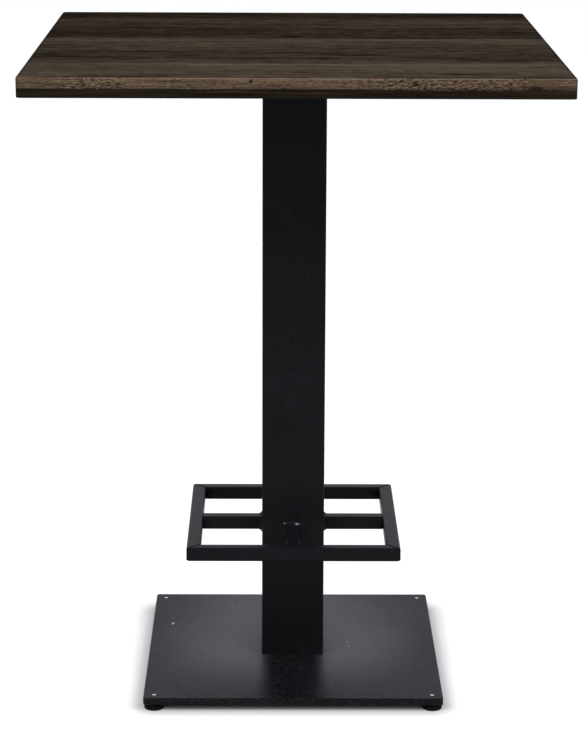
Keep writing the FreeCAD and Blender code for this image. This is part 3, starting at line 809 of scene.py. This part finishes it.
def make_powder_coat(name, specular, roughness, grain, chips_and_glints, with_dust_and_sheen):
    """Satin black powder coat with a fine orange peel, some grain, chipped spots of uncoated steel and
    painted glints, paler where it is dusted and has a painted sheen.
    """
    coat = Finish(name, "black_powder_coat", roughness=roughness, specular=specular)
    clouds = coat.noise(coat.place, CLOUD_SCALE, 4, 0.6)
    peel = coat.noise(coat.place, PEEL_SCALE, 3, 0.6)
    specks = coat.noise(coat.place, SPECK_SCALE, 2, 0.6)
    gloss = coat.spread(clouds, 0.3, 0.7, roughness - GLOSS_SWING, roughness + GLOSS_SWING)
    if with_dust_and_sheen:
        mottle = coat.noise(coat.place, MOTTLE_SCALE, 2, 0.6)
        # Dusting and a painted sheen: pale on both sides of the column, darker in line with it and at the
        # front
        dust_and_sheen = coat.math("MULTIPLY_ADD", plate_dust_and_sheen(coat), 0.71, 0.02)
        tone = layered(coat, dust_and_sheen, (mottle, 0.4))
        black = coat.ramp(tone, DUST_AND_SHEEN_COAT)
    else:
        black = coat.ramp(layered(coat, 0.5, (clouds, 0.4), (specks, 0.8)), BLACK_COAT)
        gloss = coat.math("MAXIMUM", gloss, coat.math("MULTIPLY", seams(coat), SEAM_ROUGHNESS))
    # Chipped spots of uncoated steel, and painted glints and a painted highlight in the same colour
    for centre, halves, paleness in chips_and_glints:
        chip_and_glint = coat.spot(coat.place, Vector(centre) * MM, Vector(halves) * MM)
        black = coat.mix(coat.math("MULTIPLY", chip_and_glint, paleness), black, BARE_STEEL_AND_GLINT)
    coat.colour(black)
    coat.roughness(gloss)
    coat.bump(layered(coat, peel, (specks, 0.8)), grain, 0.6 * MM)
    return coat


def make_zinc():
    """Bright zinc plate with faint cloudy passivation."""
    zinc = Finish("bright_zinc_plate", "zinc_steel", roughness=0.3, specular=0.5, metallic=1.0)
    clouds = zinc.noise(zinc.place, ZINC_CLOUD_SCALE, 3, 0.6)
    scratches = zinc.grain(zinc.place, ZINC_SCRATCHES, detail=2)
    zinc.colour(zinc.ramp(clouds, ZINC))
    zinc.roughness(zinc.spread(scratches, 0.3, 0.7, 0.24, 0.4))
    zinc.bump(scratches, 0.08, 0.2 * MM)
    return zinc


def make_plastic():
    """Moulded black plastic with a fine spark-eroded texture."""
    plastic = Finish("moulded_black_plastic", "black_plastic", roughness=0.5, specular=0.06)
    texture = plastic.noise(plastic.place, PLASTIC_GRIT_SCALE, 2, 0.6)
    scuffs = plastic.grain(plastic.place, PLASTIC_SCUFFS, detail=3)
    plastic.colour(plastic.ramp(scuffs, PLASTIC))
    plastic.roughness(plastic.spread(scuffs, 0.3, 0.7, 0.44, 0.6))
    plastic.bump(texture, 0.25, 0.3 * MM)
    return plastic


top_low, top_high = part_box("top_board")
oak = make_oak(top_high.z, top_low.z, top_high.x)
underlayer = make_underlayer(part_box("top_underlayer")[0].z, top_low.z, top_high.x)
coat = make_powder_coat(
    "satin_black_powder_coat", specular=0.041, roughness=0.33, grain=0.06, chips_and_glints=PAINTED_WELD_GLINTS, with_dust_and_sheen=False
)
plate_coat = make_powder_coat(
    "grained_black_powder_coat", specular=0.075, roughness=0.36, grain=0.20, chips_and_glints=PLATE_CHIPS, with_dust_and_sheen=True
)
zinc = make_zinc()
plastic = make_plastic()
finishes = {finish.slot: finish for finish in (oak, underlayer, coat, zinc, plastic)}
for name, node in nodes.items():
    for slot in node.material_slots:
        finish = plate_coat if name == "base_plate" else finishes[slot.material.name]
        slot.material = finish.material

# Footrest: four mitred rails and the welds of its arms
column_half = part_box("column_tube")[1].x
for side, outward in SIDES.items():
    low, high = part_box(f"footrest_{side}_bar")
    rail_half = (high.z - low.z) / 2
    rail_reach = max(high.dot(outward), low.dot(outward))
    rail_height = (low.z + high.z) / 2
    rail = mitred_rail(rail_half, rail_reach, rail_height, outward)
    add_piece(f"footrest_rail_{side}", rail, coat, "table", f"footrest_{side}_bar")

collar_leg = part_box("footrest_column_welds")[1].x - column_half
collars = []
for outward in SIDES.values():
    across = UP.cross(outward)
    start = outward * column_half + UP * rail_height
    to_column = Matrix((across, UP, outward)).transposed().to_4x4()
    collars.append(collar_bead(rail_half, TUBE_RADIUS, collar_leg, Matrix.Translation(start) @ to_column))
add_piece("footrest_column_beads", merged(collars), coat, "table", "footrest_column_welds")

bead_low, bead_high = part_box("footrest_bar_welds")
rail_inside = rail_reach - 2 * rail_half
upright_beads = []
for outward in SIDES.values():
    for across in (UP.cross(outward), -UP.cross(outward)):
        corner = outward * rail_inside + across * rail_half
        upright_beads.append(corner_bead(collar_leg, bead_low.z, bead_high.z, corner, across, -outward))
    inside = UP.cross(outward)
    corner = (outward + inside) * rail_inside
    upright_beads.append(corner_bead(collar_leg, bead_low.z, bead_high.z, corner, -inside, -outward))
add_piece("footrest_rail_beads", merged(upright_beads), coat, "table", "footrest_bar_welds")

# Head of the column
weld_low, weld_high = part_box("column_head_weld")
to_head = Matrix.Translation(UP * weld_high.z) @ Matrix.Rotation(math.pi, 4, "X")
head_bead = collar_bead(column_half, COLUMN_RADIUS, weld_high.z - weld_low.z, to_head)
add_piece("column_head_bead", head_bead, coat, "table", "column_head_weld")

# Levelling feet
for corner in CORNERS:
    low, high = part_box(f"foot_stud_{corner}")
    flange_top = low.z + FLANGE_THICKNESS
    collar_underside = low.z + COLLAR_RISE
    collar_top = collar_underside + COLLAR_HEIGHT
    levels = [
        (low.z, FLANGE_RADIUS - FLANGE_EDGE),
        (low.z + FLANGE_EDGE, FLANGE_RADIUS),
        (flange_top - FLANGE_EDGE, FLANGE_RADIUS),
        (flange_top, FLANGE_RADIUS - FLANGE_EDGE),
        (flange_top, STUD_RADIUS),
        (collar_underside, STUD_RADIUS),
        *hex_levels(collar_underside, collar_top),
        *thread_levels(collar_top, high.z),
    ]
    middle = (low + high) / 2
    stud = moved(turned(levels), Vector((middle.x, middle.y, 0)))
    add_piece(f"levelling_stud_{corner}", stud, zinc, f"{corner}_stud", f"foot_stud_{corner}")

# Bolts under the base plate
low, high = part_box("column_bolts")
bolt_levels = [
    *hex_levels(low.z, low.z + BOLT_HEAD_HEIGHT),
    (low.z + BOLT_HEAD_HEIGHT, STUD_RADIUS),
    (high.z - END_CHAMFER, STUD_RADIUS),
    (high.z, STUD_RADIUS - END_CHAMFER),
]
washer_low, washer_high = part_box("column_bolt_washers")
bolt = turned(bolt_levels)
bolts = [moved(bolt, place) for place in corner_places(washer_low, washer_high, WASHER_RADIUS)]
add_piece("base_bolts", merged(bolts), zinc, "table", "column_bolts")

# Screws under the head plate, at its corners and mid-sides
low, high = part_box("head_plate_screws")
screw = turned(screw_levels(low.z, high.z))
screw_places = corner_places(low, high, SCREW_HEAD_RADIUS)
screw_places.extend(outward * (high.x - SCREW_HEAD_RADIUS) for outward in SIDES.values())
screws = [moved(screw, place) for place in screw_places]
add_piece("top_screws", merged(screws), zinc, "table", "head_plate_screws")

# Stage: pale floor, soft light and the photograph's view
FLOOR_SIZE = 30
FLOOR_HEIGHT = -0.0002
FLOOR_COLOUR = 0.6
FLOOR_GLOW = 0.74
# The glow is held back round the base plate as a painted shadow: it starts at an outline this far inside the
# plate's and reaches full strength this far beyond it
PAINTED_SHADOW_INSET = Vector((0.0205, 0.026, 0))
PAINTED_SHADOW_REACH = 0.067
WORLD_LIGHT = 0.45
WORLD_TINT = (0.91, 0.92, 1.0, 1)
LAMP_SIZE = 2.5
LAMP_TARGET = Vector((0, 0, 0.6))
LAMPS = (
    ("key_lamp", Vector((-2.6, -3.4, 4.2)), 105),
    ("fill_lamp", Vector((2.9, -2.6, 3.8)), 83),
)
CAMERA_PLACE = (-0.02962, -3.82746, 1.52363)
CAMERA_PITCH = math.radians(14.869)
CAMERA_YAW = math.radians(0.456)
CAMERA_ROLL = math.radians(0.246)
CAMERA_LENS = 119.52
SENSOR_WIDTH = 36


def white_rays(tree):
    """1 for rays of the camera, of gloss and through glass, which see the white surroundings."""
    path = tree.nodes.new("ShaderNodeLightPath")
    seen = path.outputs["Is Camera Ray"]
    for name in ("Is Glossy Ray", "Is Transmission Ray"):
        either = tree.nodes.new("ShaderNodeMath")
        either.operation = "MAXIMUM"
        tree.links.new(seen, either.inputs[0])
        tree.links.new(path.outputs[name], either.inputs[1])
        seen = either.outputs[0]
    return seen


def add_floor(painted_shadow_halves):
    """A plain pale floor that keeps the table's shadow and fades to white away from it: a glow for camera
    and gloss rays, held back round the base plate, paints a shadow there.
    """
    reach = FLOOR_SIZE / 2
    corners = [(-reach, -reach, FLOOR_HEIGHT), (reach, -reach, FLOOR_HEIGHT), (reach, reach, FLOOR_HEIGHT)]
    corners.append((-reach, reach, FLOOR_HEIGHT))
    mesh = bpy.data.meshes.new("floor")
    mesh.from_pydata(corners, [], [(0, 1, 2, 3)])
    floor = bpy.data.objects.new("floor", mesh)
    bpy.context.scene.collection.objects.link(floor)
    material = bpy.data.materials.new("pale_floor")
    material.use_nodes = True
    tree = material.node_tree
    shader = tree.nodes["Principled BSDF"]
    shader.inputs["Base Color"].default_value = (FLOOR_COLOUR, FLOOR_COLOUR, FLOOR_COLOUR, 1)
    shader.inputs["Roughness"].default_value = 1
    shader.inputs["Specular IOR Level"].default_value = 0
    shader.inputs["Emission Color"].default_value = (1, 1, 1, 1)
    previous = tree.nodes.new("ShaderNodeTexCoord").outputs["Object"]
    for operation, amount in (("ABSOLUTE", (0, 0, 0)), ("SUBTRACT", painted_shadow_halves), ("MAXIMUM", (0, 0, 0))):
        step = tree.nodes.new("ShaderNodeVectorMath")
        step.operation = operation
        step.inputs[1].default_value = amount
        tree.links.new(previous, step.inputs[0])
        previous = step.outputs[0]
    away = tree.nodes.new("ShaderNodeVectorMath")
    away.operation = "LENGTH"
    tree.links.new(previous, away.inputs[0])
    # Painted shadow: the glow rises from nothing at the inset outline
    glow = tree.nodes.new("ShaderNodeMapRange")
    glow.interpolation_type = "SMOOTHSTEP"
    glow.inputs["From Max"].default_value = PAINTED_SHADOW_REACH
    glow.inputs["To Max"].default_value = FLOOR_GLOW
    tree.links.new(away.outputs["Value"], glow.inputs["Value"])
    seen = tree.nodes.new("ShaderNodeMath")
    seen.operation = "MULTIPLY"
    tree.links.new(glow.outputs[0], seen.inputs[0])
    tree.links.new(white_rays(tree), seen.inputs[1])
    tree.links.new(seen.outputs[0], shader.inputs["Emission Strength"])
    clear = tree.nodes.new("ShaderNodeBsdfTransparent")
    facing = tree.nodes.new("ShaderNodeMixShader")
    tree.links.new(tree.nodes.new("ShaderNodeNewGeometry").outputs["Backfacing"], facing.inputs[0])
    tree.links.new(shader.outputs[0], facing.inputs[1])
    tree.links.new(clear.outputs[0], facing.inputs[2])
    tree.links.new(facing.outputs[0], tree.nodes["Material Output"].inputs["Surface"])
    mesh.materials.append(material)


def add_world():
    """White surroundings that light the table evenly, a little cool."""
    world = bpy.data.worlds.new("white_studio")
    world.use_nodes = True
    bpy.context.scene.world = world
    tree = world.node_tree
    light = tree.nodes["Background"]
    tint = tree.nodes.new("ShaderNodeMixRGB")
    tint.inputs[1].default_value = WORLD_TINT
    tint.inputs[2].default_value = (1, 1, 1, 1)
    tree.links.new(tree.nodes.new("ShaderNodeLightPath").outputs["Is Camera Ray"], tint.inputs[0])
    tree.links.new(tint.outputs[0], light.inputs["Color"])
    strength = tree.nodes.new("ShaderNodeMapRange")
    strength.inputs["To Min"].default_value = WORLD_LIGHT
    strength.inputs["To Max"].default_value = 1
    tree.links.new(white_rays(tree), strength.inputs["Value"])
    tree.links.new(strength.outputs[0], light.inputs["Strength"])


def add_lamp(name, place, power):
    """A large soft lamp that points at the table."""
    lamp = bpy.data.lights.new(name, "AREA")
    lamp.shape = "DISK"
    lamp.size = LAMP_SIZE
    lamp.energy = power
    holder = bpy.data.objects.new(name, lamp)
    holder.location = place
    holder.rotation_euler = (LAMP_TARGET - place).to_track_quat("-Z", "Y").to_euler()
    bpy.context.scene.collection.objects.link(holder)


def add_camera():
    """The photograph's view of the table."""
    lens = bpy.data.cameras.new("photo_view")
    lens.sensor_width = SENSOR_WIDTH
    lens.lens = CAMERA_LENS
    camera = bpy.data.objects.new("photo_view", lens)
    heading = Matrix.Rotation(-CAMERA_YAW, 4, "Z") @ Matrix.Rotation(math.pi / 2 - CAMERA_PITCH, 4, "X")
    tilted = heading @ Matrix.Rotation(CAMERA_ROLL, 4, "Z")
    camera.matrix_world = Matrix.Translation(CAMERA_PLACE) @ tilted
    bpy.context.scene.collection.objects.link(camera)
    bpy.context.scene.camera = camera


add_floor(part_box("base_plate")[1] - PAINTED_SHADOW_INSET)
add_world()
for lamp_name, lamp_place, lamp_power in LAMPS:
    add_lamp(lamp_name, lamp_place, lamp_power)
add_camera()
bpy.context.scene.view_settings.view_transform = "Standard"
